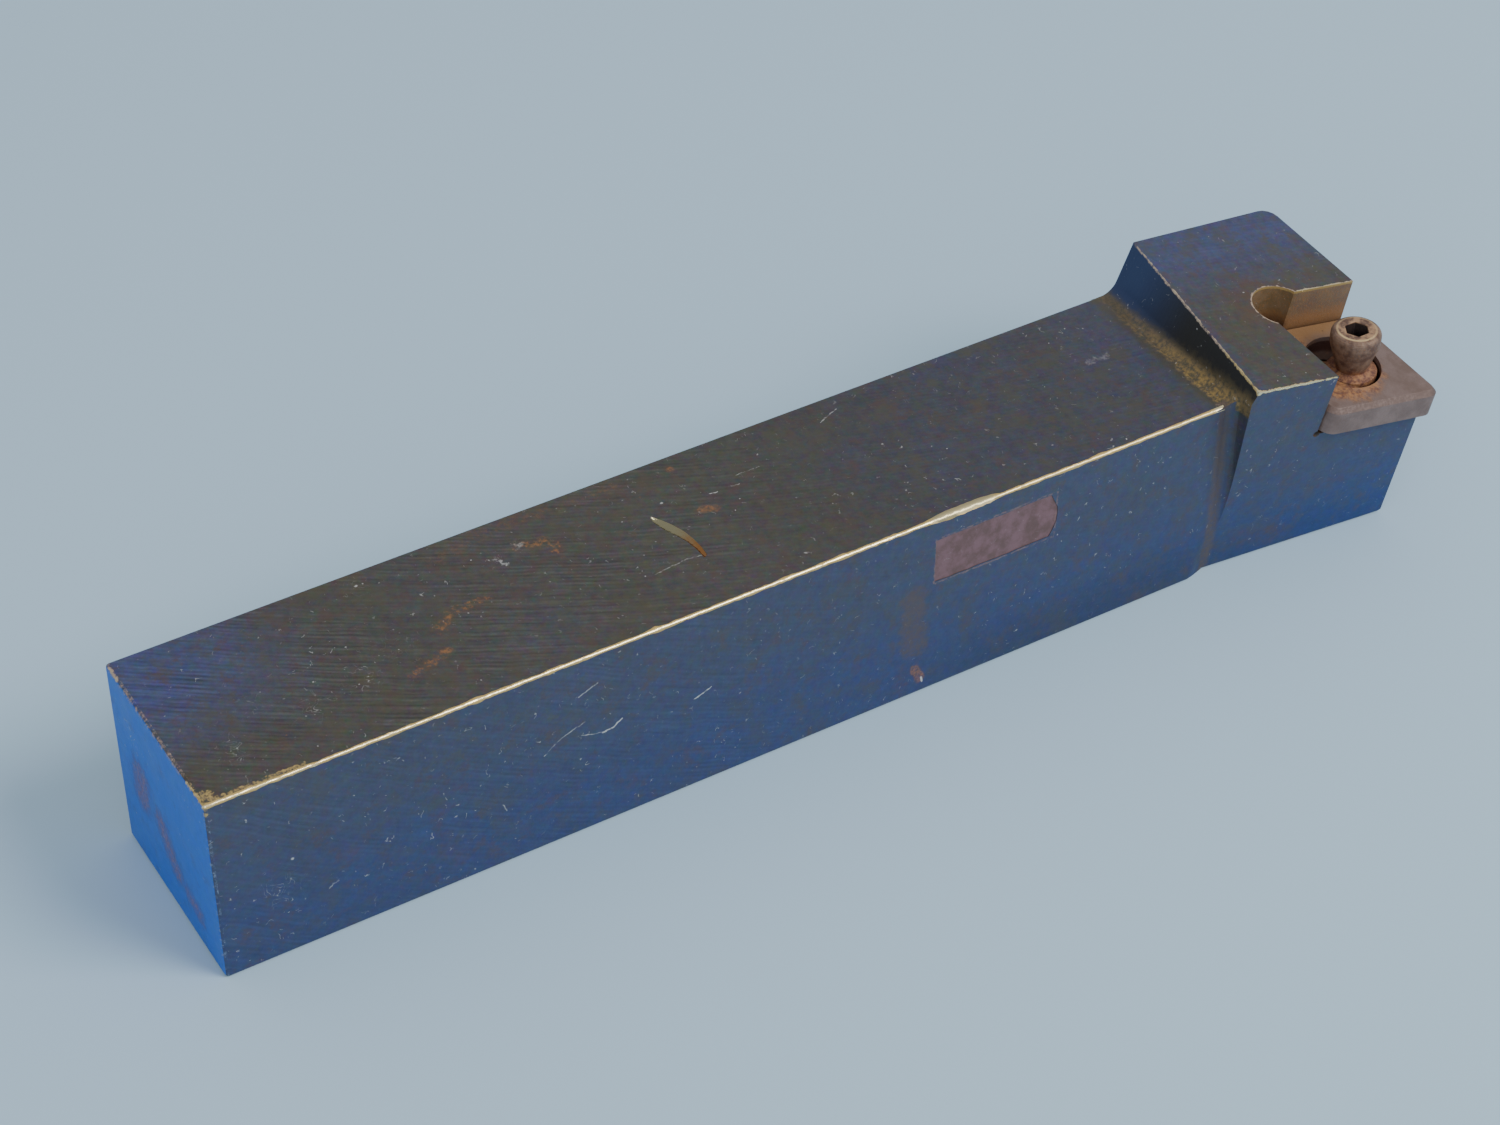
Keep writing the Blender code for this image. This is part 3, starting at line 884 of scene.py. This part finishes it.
def add_step_rust(f, colour):
    """Olive and orange rust in the step's foot, under the step face, which is painted in shade
    from blue to black towards the near side.
    """
    on_step = f.times(f.fade(f.z, HEIGHT - 0.6, HEIGHT - 0.3), f.fade(f.on_side, 0.6, 0.2))
    grain = f.noise(0.7, 5.0, 0.7)
    wavering = f.math("ADD", f.y, f.math("MULTIPLY_ADD", grain, 1.2, -0.6))
    depth = f.from_nose(UP)[0]
    # Painted shade on the step face: blue at the far side, black at the near side
    face = f.times(f.span(f.y, STEP_TOP - 0.75, 106.0, 0.25), on_step, f.fade(depth, -0.05, -0.25))
    colour = f.blend(face, colour, f.blend(f.fade(f.x, 2.0, 12.0), STEP_SHADE_BLUE, STEP_SHADE_BLACK))
    dark = f.times(f.span(wavering, STEP_FOOT - 0.9, STEP_TOP - 0.6, 0.5), on_step, 0.6)
    colour = f.blend(dark, colour, OLIVE)
    band = f.times(f.span(wavering, STEP_FOOT - 0.1, STEP_TOP - 0.6, 0.35), on_step)
    near = f.between(f.fade(f.x, 1.0, 17.0), 0.25, 1.0)
    band = f.times(band, near, f.between(f.fade(grain, 0.35, 0.65), 0.60, 1.0))
    band_tone = f.blend(f.fade(f.math("ADD", f.fine, grain), 0.70, 1.25), OLIVE, MUSTARD)
    return f.blend(band, colour, band_tone), band


def add_side_marks(f, colour):
    """The brown hollow of the side step, a brown stain and the ground rectangle."""
    hollow = f.times(f.span(f.y, 101.2, 102.3, 0.3), f.fade(f.x, 19.0, 19.4))
    colour = f.blend(f.times(hollow, f.between(f.broken, 0.5, 0.9)), colour, HOLLOW)
    stain = f.path(f.ragged, (side(68.0, 8.4), side(68.2, 14.0)), 0.8, 1.1)
    colour = f.blend(f.times(stain, f.between(f.broken, 0.45, 0.8)), colour, HOLLOW)

    near_plate = f.times(
        f.on_side, f.fade(f.x, 18.0, 19.0), f.span(f.y, PLATE_START - 1.2, PLATE_END + 2.2, 0.1),
        f.span(f.z, PLATE_LOW - 1.2, PLATE_HIGH + 1.2, 0.1),
    )
    sunk = f.fade(f.x, WIDTH - PLATE_DEPTH * 0.2, WIDTH - PLATE_DEPTH * 0.6)
    tone = f.blend(f.fade(f.noise(1.3, 5.0, 0.65), 0.35, 0.65), PLATE_BROWN, PLATE_MAUVE)
    tone = f.blend(f.times(f.fade(f.fine, 0.60, 0.72), 0.3), tone, PLATE_LINE)
    colour = f.blend(f.times(near_plate, sunk), colour, tone)
    corners = [
        side(y, drop) for y, drop in (
            (PLATE_START, 2.25), (PLATE_END + 0.7, 2.25), (PLATE_END + 0.6, 7.45),
            (PLATE_START, 7.45), (PLATE_START, 2.25),
        )
    ]
    frame_line = f.times(f.path(f.sway, corners, 0.0, 0.16), f.broken, near_plate)
    return f.blend(f.times(frame_line, 0.7), colour, PLATE_LINE)


def add_head_bloom(f, colour):
    """Brown bloom on the head's top round the relief."""
    bloom = f.spot(f.ragged, from_pocket(RELIEF[0] - 0.5, RELIEF[1] - 1.0), 3.4, 2.8)
    bloom = f.times(bloom, f.between(f.fade(f.noise(1.2, 5.0, 0.7), 0.40, 0.62), 0.25, 1.0))
    return f.blend(f.times(bloom, 0.75), colour, RUST_DARK)


def crowded_mask(f):
    """1 where lint and dust have gathered."""
    places = (
        top(14.0, 13.0), top(11.0, 8.5), top(15.0, 4.5), top(10.5, 22.0), top(13.0, 17.7),
        top(2.0, 23.0), side(6.0, 12.0), end(10.0, 13.0), end(4.0, 5.0),
    )
    return f.most(*(f.spot(f.ragged, place, 1.2, 1.4) for place in places))


def scratches(f, lines):
    """A mark for each line: its face, its places there, its half width and its softness."""
    return [
        f.path(f.sway, [face(*place) for place in places], width, soft)
        for face, places, width, soft in lines
    ]


def bright_marks(f):
    """Short bright scratches and single flecks."""
    return f.most(
        *scratches(f, BRIGHT_LINES),
        f.spot(f.sway, top(5.6, 50.5), 0.11, 0.08),
        f.spot(f.sway, top(1.9, 22.4), 0.11, 0.08),
        f.spot(f.sway, side(7.0, 9.4), 0.12, 0.1),
    )


def thin_marks(f):
    """Thin hair scratches, and three pale smudges on the top."""
    return f.most(
        *scratches(f, THIN_LINES),
        f.path(f.ragged, (top(4.6, 33.9), top(5.9, 34.8)), 0.02, 0.3),
        f.times(f.spot(f.ragged, top(4.2, 37.0), 0.2, 0.5), 0.9),
        f.times(f.path(f.ragged, (top(8.0, 95.0), top(8.0, 97.0)), 0.0, 0.5), 0.4),
    )


def pale_mask(f):
    """Lint, hair scratches and pale specks, most of them in loose clusters."""
    cluster = f.between(f.fade(f.noise(6.0, 2.0), 0.45, 0.6), 0.3, 1.0)
    crowded = crowded_mask(f)
    flecks = f.times(f.specks(1.2, 0.08, 0.28, f.sway), cluster)
    dust = f.times(f.specks(0.6, 0.16, 0.42, f.sway), crowded)
    thread = f.math("ABSOLUTE", f.math("SUBTRACT", f.noise(1.1, 1.0, 0.5, 0.8), 0.5))
    found = f.most(f.fade(f.noise(0.8, 2.0), 0.60, 0.66), f.times(crowded, f.broken))
    hairs = f.times(f.fade(thread, 0.016, 0.004), found, cluster)
    bright = bright_marks(f)
    thin = f.times(thin_marks(f), f.between(f.broken, 0.25, 0.75))
    return f.most(bright, thin, flecks, f.times(dust, 0.8), f.times(hairs, 0.6))


def rear_edge_lines(f):
    """How bare the top edges are near the rear end, line by line."""
    corner = f.to_segment(f.sway, (16.5, 0, HEIGHT), (WIDTH, 0, HEIGHT))
    patch = f.to_segment(f.sway, (0.8, 0, HEIGHT), (2.4, 0, HEIGHT))
    line = f.to_segment(f.sway, (1.0, 0, HEIGHT), (9.0, 0, HEIGHT))
    corner_dust = f.spot(f.sway, top(18.9, 0.8), 0.9, 0.5)
    near = f.to_segment(f.sway, (19.6, 0.5, HEIGHT), (19.6, 9.0, HEIGHT))
    return (
        f.times(f.fade(corner, 0.45, 0.15), 0.66),
        f.times(f.fade(patch, 0.55, 0.15), 0.67),
        f.times(f.fade(line, 0.35, 0.1), 0.55),
        f.times(corner_dust, 0.52),
        f.times(f.fade(near, 0.55, 0.2), 0.50),
    )


def head_edge_lines(f):
    """How bare the edges of the head's top are, line by line."""
    rear = f.to_segment(f.sway, HEAD_BACK_REAR, HEAD_SIDE_REAR)
    near = f.to_segment(f.sway, HEAD_SIDE_REAR, HEAD_SIDE_INNER)
    corner = f.vector("DISTANCE", f.sway, tuple(HEAD_SIDE_REAR))
    wall_end = from_pocket(-WALL, RELIEF[1] + RELIEF_RADIUS)
    wall = f.to_segment(f.sway, HEAD_FRONT_INNER, wall_end)
    offset = f.vector("DISTANCE", f.sway, tuple(from_pocket(*RELIEF)))
    arc = f.math("ABSOLUTE", f.math("SUBTRACT", offset, RELIEF_RADIUS))
    on_top = f.fade(f.from_nose(UP)[0], -0.25, -0.1)
    return (
        f.times(f.fade(rear, 0.34, 0.10), 0.64),
        f.times(f.fade(near, 0.32, 0.05), 0.95),
        f.fade(corner, 0.65, 0.2),
        f.times(f.fade(wall, 0.26, 0.06), 0.9),
        f.times(f.fade(arc, 0.24, 0.06), f.fade(offset, 4.0, 3.0), on_top, 0.6),
    )


def edge_steel(f, strength):
    """How clean the bare steel is, from 0 to 1, and its colour. On the near top edge it is a thin
    bright line along the chamfer's middle: worn steel with a painted highlight.
    """
    swayed = f.parts(f.sway)
    over = f.math("SUBTRACT", swayed[2], HEIGHT)
    slant = f.math("SUBTRACT", over, f.math("SUBTRACT", swayed[0], WIDTH))
    # Painted highlight: the thin bright line along the middle of the near top chamfer
    highlight_core = f.fade(f.math("ABSOLUTE", slant), 0.15, 0.04)
    near_top = f.times(
        f.fade(f.x, WIDTH - 1.5, WIDTH - 1.2), f.fade(f.z, HEIGHT - 1.5, HEIGHT - 1.2),
        f.fade(f.y, SHANK_END, SHANK_END - 0.5),
    )
    clean = f.fade(f.math("SUBTRACT", strength, f.times(f.fine, 0.3)), 0.35, 0.75)
    shine = f.times(highlight_core, f.between(f.fade(f.y, 66.0, 80.0), 1.0, 0.6))
    clean = f.between(near_top, clean, shine)
    dull = f.blend(f.fade(f.z, 18.0, 19.6), EDGE_BLUE, BARE_PINK)
    near_rear = f.times(f.fade(f.x, 15.5, 17.5), f.fade(f.z, HEIGHT - 0.6, HEIGHT - 0.3))
    tone = f.blend(clean, f.blend(f.most(near_top, near_rear), dull, GOLD), BARE_AND_HIGHLIGHT)
    along_flat = f.span(f.y, FLAT_START + 0.8, FLAT_END - 0.6, 0.5)
    facet = f.times(near_top, along_flat, f.fade(slant, -0.5, -0.3))
    return clean, f.blend(f.times(facet, 0.8), tone, FACET)


def gouge_mask(f):
    """1 on the gouge's floor and walls, below the shank's top."""
    gouge = f.path(f.place, [top(x, y) for x, y in GOUGE_LINE], 0.55, 0.12)
    dug = f.times(f.fade(f.z, HEIGHT - 0.02, HEIGHT - 0.06), f.fade(f.z, HEIGHT - 2, HEIGHT - 1))
    return f.times(gouge, dug)


def bare_mask(f):
    """Where steel shows at the worn edges and in the gouge, its colour, and how clean it is."""
    mark = f.add("ShaderNodeAttribute", attribute_name="worn").outputs["Fac"]
    wander = f.noise(0.40, 4.0, 0.7)
    dulled = f.times(f.fade(f.noise(2.6, 4.0, 0.6), 0.56, 0.70), 0.3)
    lines = f.most(mark, f.most(*rear_edge_lines(f), *head_edge_lines(f)))
    strength = f.math("SUBTRACT", lines, dulled)
    worn = f.fade(f.math("ADD", strength, f.math("SUBTRACT", wander, 0.5)), 0.38, 0.66)
    clean, tone = edge_steel(f, strength)
    gouge = gouge_mask(f)
    tip = f.fade(f.math("MULTIPLY_ADD", f.fine, 3.0, f.x), 10.5, 14.0)
    tone = f.blend(gouge, tone, f.blend(f.times(tip, 0.9), FACET, RUST_ORANGE))
    return f.most(worn, gouge), tone, f.most(clean, gouge)


def make_blackened_steel():
    """Blue-black oxide with grinding lines, handling wear, rust specks and bare edges."""
    f = HolderFinish()
    grind = add_grinding(f)
    rust = rust_mask(f)
    colour = add_mottling(f, oxide_colour(f, grind))
    colour = add_rust(f, colour, rust)
    colour, band = add_step_rust(f, colour)
    colour = add_side_marks(f, colour)
    colour = add_head_bloom(f, colour)
    colour = f.blend(f.times(pale_mask(f), 0.85), colour, LINT)
    bare, tone, clean = bare_mask(f)
    colour = f.blend(bare, colour, tone)

    rusty = f.most(rust, band)
    roughness = f.between(f.fade(f.cloudy, 0.3, 0.7), 0.42, 0.54)
    roughness = f.math("ADD", roughness, f.times(grind, 0.08))
    roughness = f.between(rusty, roughness, 0.82)
    roughness = f.between(bare, roughness, f.between(clean, 0.5, 0.25))
    metallic = f.between(rusty, f.between(bare, 0.3, f.between(clean, 0.5, 1.0)), 0.0)
    height = f.math("MULTIPLY_ADD", grind, 0.45, f.times(f.fine, 0.5))
    return f.finish(colour, metallic, roughness, height, 0.03)


def pocket_ground(f, depth, in_relief, cloudy, fine):
    """Brown above, orange below, and olive in the relief."""
    upper = f.blend(in_relief, POCKET_BROWN, POCKET_OLIVE)
    upper = f.blend(f.fade(cloudy, 0.38, 0.66), upper, POCKET_TAN)
    colour = f.blend(f.times(f.fade(depth, -2.2, -4.0), 0.7), upper, POCKET_ORANGE)
    return f.blend(f.times(f.fade(fine, 0.5, 0.66), 0.45), colour, RUST_ORANGE)


def make_pocket_finish():
    """Bare machined walls gone brown, with pits, pale dust, painted shade at the foot and in the
    relief's crevice, and a golden rim.
    """
    f = Finish("rusty_pocket_steel")
    depth, along = f.from_nose(UP, ALONG)
    cloudy = f.noise(1.8, 5.0, 0.65)
    fine = f.noise(0.22, 4.0, 0.7)
    relief_front = RELIEF[1] + RELIEF_RADIUS
    in_relief = f.fade(along, relief_front + 0.3, relief_front - 0.5)
    wavering = f.math("ADD", depth, f.times(f.math("SUBTRACT", cloudy, 0.5), 2.4))
    colour = pocket_ground(f, wavering, in_relief, cloudy, fine)
    pits = f.times(f.specks(0.5, 0.16, 0.45), f.between(in_relief, 0.5, 1.0))
    colour = f.blend(f.times(pits, 0.7), colour, POCKET_PIT)
    dusted = f.times(f.specks(0.6, 0.10, 0.25), f.fade(depth, -3.5, -1.0))
    colour = f.blend(f.times(dusted, 0.5), colour, LINT)
    # Painted shade, patchy, at the pocket's foot and in the relief's crevice
    crevice = f.times(in_relief, f.fade(wavering, -3.0, -4.0))
    foot_shade = f.most(f.fade(depth, -4.2, -5.2), f.times(crevice, 0.7))
    shade_patches = f.between(f.fade(f.noise(0.9, 5.0, 0.7), 0.36, 0.62), 0.55, 0.92)
    colour = f.blend(f.times(foot_shade, shade_patches), colour, POCKET_FOOT_SHADE)
    rim = f.fade(f.math("MULTIPLY_ADD", fine, 0.25, depth), -0.22, 0.0)
    colour = f.blend(f.times(rim, 0.8), colour, GOLD)
    roughness = f.between(f.fade(fine, 0.3, 0.7), 0.55, 0.8)
    height = f.math("SUBTRACT", fine, f.times(pits, 0.8))
    return f.finish(colour, f.times(rim, 0.6), roughness, height, 0.05)


def seat_ground(f, facing_up, across, cloudy, fine):
    """Mustard by the wall, mauve-brown to the nose, and darker on the eased edges."""
    wavering = f.waver(across, cloudy, 5.0)
    by_wall = f.fade(wavering, -7.0, -11.5)
    mixed = f.fade(cloudy, 0.35, 0.65)
    upper = f.blend(mixed, SEAT_BROWN, SEAT_MAUVE)
    upper = f.blend(f.times(by_wall, 0.85), upper, SEAT_MUSTARD)
    lower = f.blend(mixed, SEAT_SIDE_BROWN, SEAT_SIDE_MAUVE)
    colour = f.blend(f.fade(facing_up, 0.5, 0.95), lower, upper)
    eased = f.span(facing_up, 0.35, 0.85, 0.1)
    eased = f.times(eased, f.between(f.fade(fine, 0.35, 0.6), 0.5, 0.9))
    return f.blend(eased, colour, SEAT_EDGE)


def seat_rust_ring(f, cloudy):
    """1 on the rust round the seat's hole, most to its rear and away from the side wall."""
    centre = from_pocket(SEAT_HOLE.x + 0.7, SEAT_HOLE.y - 1.3, CAKE_TOP)
    gap = f.vector("DISTANCE", f.place, tuple(centre))
    return f.fade(f.waver(gap, cloudy, 4.0), 5.2, 3.6)


def make_seat_finish():
    """The hardened seat, stained all over, with crumbly rust round its hole and painted shade in
    its bore.
    """
    f = Finish("stained_seat_steel")
    geometry = f.add("ShaderNodeNewGeometry")
    facing_up = f.vector("DOT_PRODUCT", geometry.outputs["Normal"], tuple(UP))
    cloudy = f.noise(2.2, 5.0, 0.6)
    fine = f.noise(0.25, 4.0, 0.7)
    across, depth = f.from_nose(ACROSS, UP)
    colour = seat_ground(f, facing_up, across, cloudy, fine)
    gap = f.vector("DISTANCE", f.place, tuple(from_pocket(*SEAT_HOLE, CAKE_TOP)))
    # Painted shade on the wall of the seat's hole
    bore_shade = f.times(f.fade(gap, 4.1, 3.9), f.fade(facing_up, 0.6, 0.3), f.fade(depth, -4.48, -4.62))
    ring = seat_rust_ring(f, cloudy)
    cake = f.blend(f.fade(f.noise(0.6, 5.0, 0.7), 0.36, 0.60), CAKE_DARK, CAKE_PALE)
    caked = f.times(ring, f.between(f.fade(fine, 0.35, 0.6), 0.55, 0.95))
    colour = f.blend(caked, colour, cake)
    colour = f.blend(f.times(bore_shade, 0.85), colour, SEAT_BORE_SHADE)
    colour = f.blend(f.times(f.specks(1.3, 0.10, 0.25), 0.6), colour, SEAT_FLECK)
    roughness = f.between(f.fade(fine, 0.3, 0.7), 0.42, 0.62)
    return f.finish(colour, f.between(ring, 0.25, 0.0), roughness, fine, 0.04)


def pin_ground(f, height, cloudy, fine, low, crumbs):
    """Mauve-brown, with crumbly rust on the collar and painted shade below it."""
    colour = f.blend(f.fade(cloudy, 0.35, 0.65), PIN_DARK, PIN_MAUVE)
    colour = f.blend(f.times(f.fade(fine, 0.52, 0.7), 0.4), colour, RUST_ORANGE)
    caked = f.blend(f.fade(crumbs, 0.36, 0.62), PIN_CAKE_DARK, PIN_CAKE_PALE)
    colour = f.blend(f.times(low, 0.9), colour, caked)
    # Painted shade low on the pin
    return f.blend(f.times(f.fade(height, -5.0, -5.8), 0.85), colour, PIN_DEEP_SHADE)


def rim_highlight(f, offset, radial, height, fine):
    """1 on a painted highlight along the rounded rim of the pin's head, strongest towards the near
    side and the rear, which face the camera.
    """
    rim = f.span(radial, PIN_RIM - 0.04, PIN_RIM + 0.14, 0.06)
    rim = f.times(rim, f.fade(height, -0.45, -0.2))
    towards = f.vector("DOT_PRODUCT", offset, (0.75, -0.66, 0.0))
    return f.times(rim, f.between(f.fade(towards, 0.0, 1.5), 0.30, 1.0), f.fade(fine, 0.25, 0.45))


def make_pin_finish():
    """The turned pin: lathe marks, a painted highlight on its rim, painted shade in its socket and
    low down, and a rusty base.
    """
    f = Finish("browned_pin_steel")
    offset = f.vector("SUBTRACT", f.place, tuple(PIN))
    height = f.parts(offset)[2]
    radial = f.vector("LENGTH", f.vector("MULTIPLY", offset, (1.0, 1.0, 0.0)))
    cloudy = f.noise(1.1, 5.0, 0.65)
    fine = f.noise(0.2, 4.0, 0.7)
    turning = f.math("SINE", f.times(height, 2 * math.pi / PIN_TURNING_PITCH))
    low = f.fade(f.waver(height, cloudy, 1.6), -3.4, -4.4)
    crumbs = f.noise(0.55, 5.0, 0.7)
    colour = pin_ground(f, height, cloudy, fine, low, crumbs)
    crown = f.times(f.fade(radial, PIN_RIM + 0.25, PIN_RIM - 0.1), f.fade(height, -0.3, -0.1))
    colour = f.blend(f.times(crown, f.fade(cloudy, 0.40, 0.62)), colour, PIN_CROWN)
    # Painted highlight on the pin's rim
    rim_glint = rim_highlight(f, offset, radial, height, fine)
    colour = f.blend(rim_glint, colour, PIN_RIM_HIGHLIGHT)
    # Painted shade inside the hex socket
    socket = f.times(f.fade(radial, 1.24, 1.16), f.fade(height, -0.03, -0.2))
    colour = f.blend(f.times(socket, 0.9), colour, PIN_SOCKET_SHADE)
    roughness = f.between(rim_glint, f.between(f.fade(fine, 0.3, 0.7), 0.46, 0.66), 0.3)
    relief = f.math("MULTIPLY_ADD", turning, 0.15, f.math("ADD", fine, f.times(crumbs, low)))
    return f.finish(colour, f.between(rim_glint, 0.2, 0.9), roughness, relief, 0.04)


# ---------- setting

FLOOR_COLOUR = (0.50, 0.69, 0.84, 1.0)
FLOOR_SIZE = 6.0
FLOOR_GAP = 0.00002
SKY_COLOUR = (0.92, 0.95, 1.0, 1.0)
SKY_STRENGTH = 0.56
CAMERA_PLACE = Vector((0.199124, -0.126997, 0.212269))
CAMERA_FORWARD = Vector((-0.64970, 0.39652, -0.64858))
CAMERA_UP = Vector((-0.55723, 0.33193, 0.76113))
LENS = 82.25
SENSOR = 36.0


def make_floor():
    """A large plain pale sheet under the holder."""
    bpy.ops.mesh.primitive_plane_add(size=FLOOR_SIZE, location=(0, 0, -FLOOR_GAP))
    floor = bpy.context.object
    floor.name = "floor"
    material = bpy.data.materials.new("pale_floor")
    material.use_nodes = True
    shader = material.node_tree.nodes["Principled BSDF"]
    shader.inputs["Base Color"].default_value = FLOOR_COLOUR
    shader.inputs["Roughness"].default_value = 0.9
    shader.inputs["Specular IOR Level"].default_value = 0.1
    floor.data.materials.append(material)


def make_light(name, place, aim, size, power, colour):
    """A round soft lamp at a place, turned to a point."""
    lamp = bpy.data.lights.new(name, "AREA")
    lamp.shape = "DISK"
    lamp.size = size
    lamp.energy = power
    lamp.color = colour
    light = add_object(name, lamp)
    light.location = place
    light.rotation_mode = "QUATERNION"
    light.rotation_quaternion = (Vector(aim) - Vector(place)).to_track_quat("-Z", "Y")


def make_lights():
    """Even light all round, a key lamp past the head and a weaker one past the rear end."""
    world = bpy.data.worlds.new("soft_studio")
    world.use_nodes = True
    background = world.node_tree.nodes["Background"]
    background.inputs["Color"].default_value = SKY_COLOUR
    background.inputs["Strength"].default_value = SKY_STRENGTH
    bpy.context.scene.world = world
    make_light("key", (0.48, 0.36, 0.62), (0, 0, 0), 0.45, 4.3, (1.0, 0.98, 0.95))
    make_light("fill", (0.6, -0.5, 0.5), (0, 0, 0.01), 0.7, 1.6, (0.92, 0.96, 1.0))


def make_camera():
    """The camera, above the near rear corner and looking towards the head."""
    camera = bpy.data.cameras.new("camera")
    camera.lens = LENS
    camera.sensor_width = SENSOR
    camera.clip_start = 0.01
    obj = add_object("camera", camera)
    right = CAMERA_FORWARD.cross(CAMERA_UP)
    turn = Matrix((right, CAMERA_UP, -CAMERA_FORWARD)).transposed()
    obj.rotation_mode = "QUATERNION"
    obj.rotation_quaternion = turn.to_quaternion()
    obj.location = CAMERA_PLACE
    bpy.context.scene.camera = obj


make_holder(make_blackened_steel(), make_pocket_finish())
make_seat(make_seat_finish())
make_pin(make_pin_finish())
make_floor()
make_lights()
make_camera()
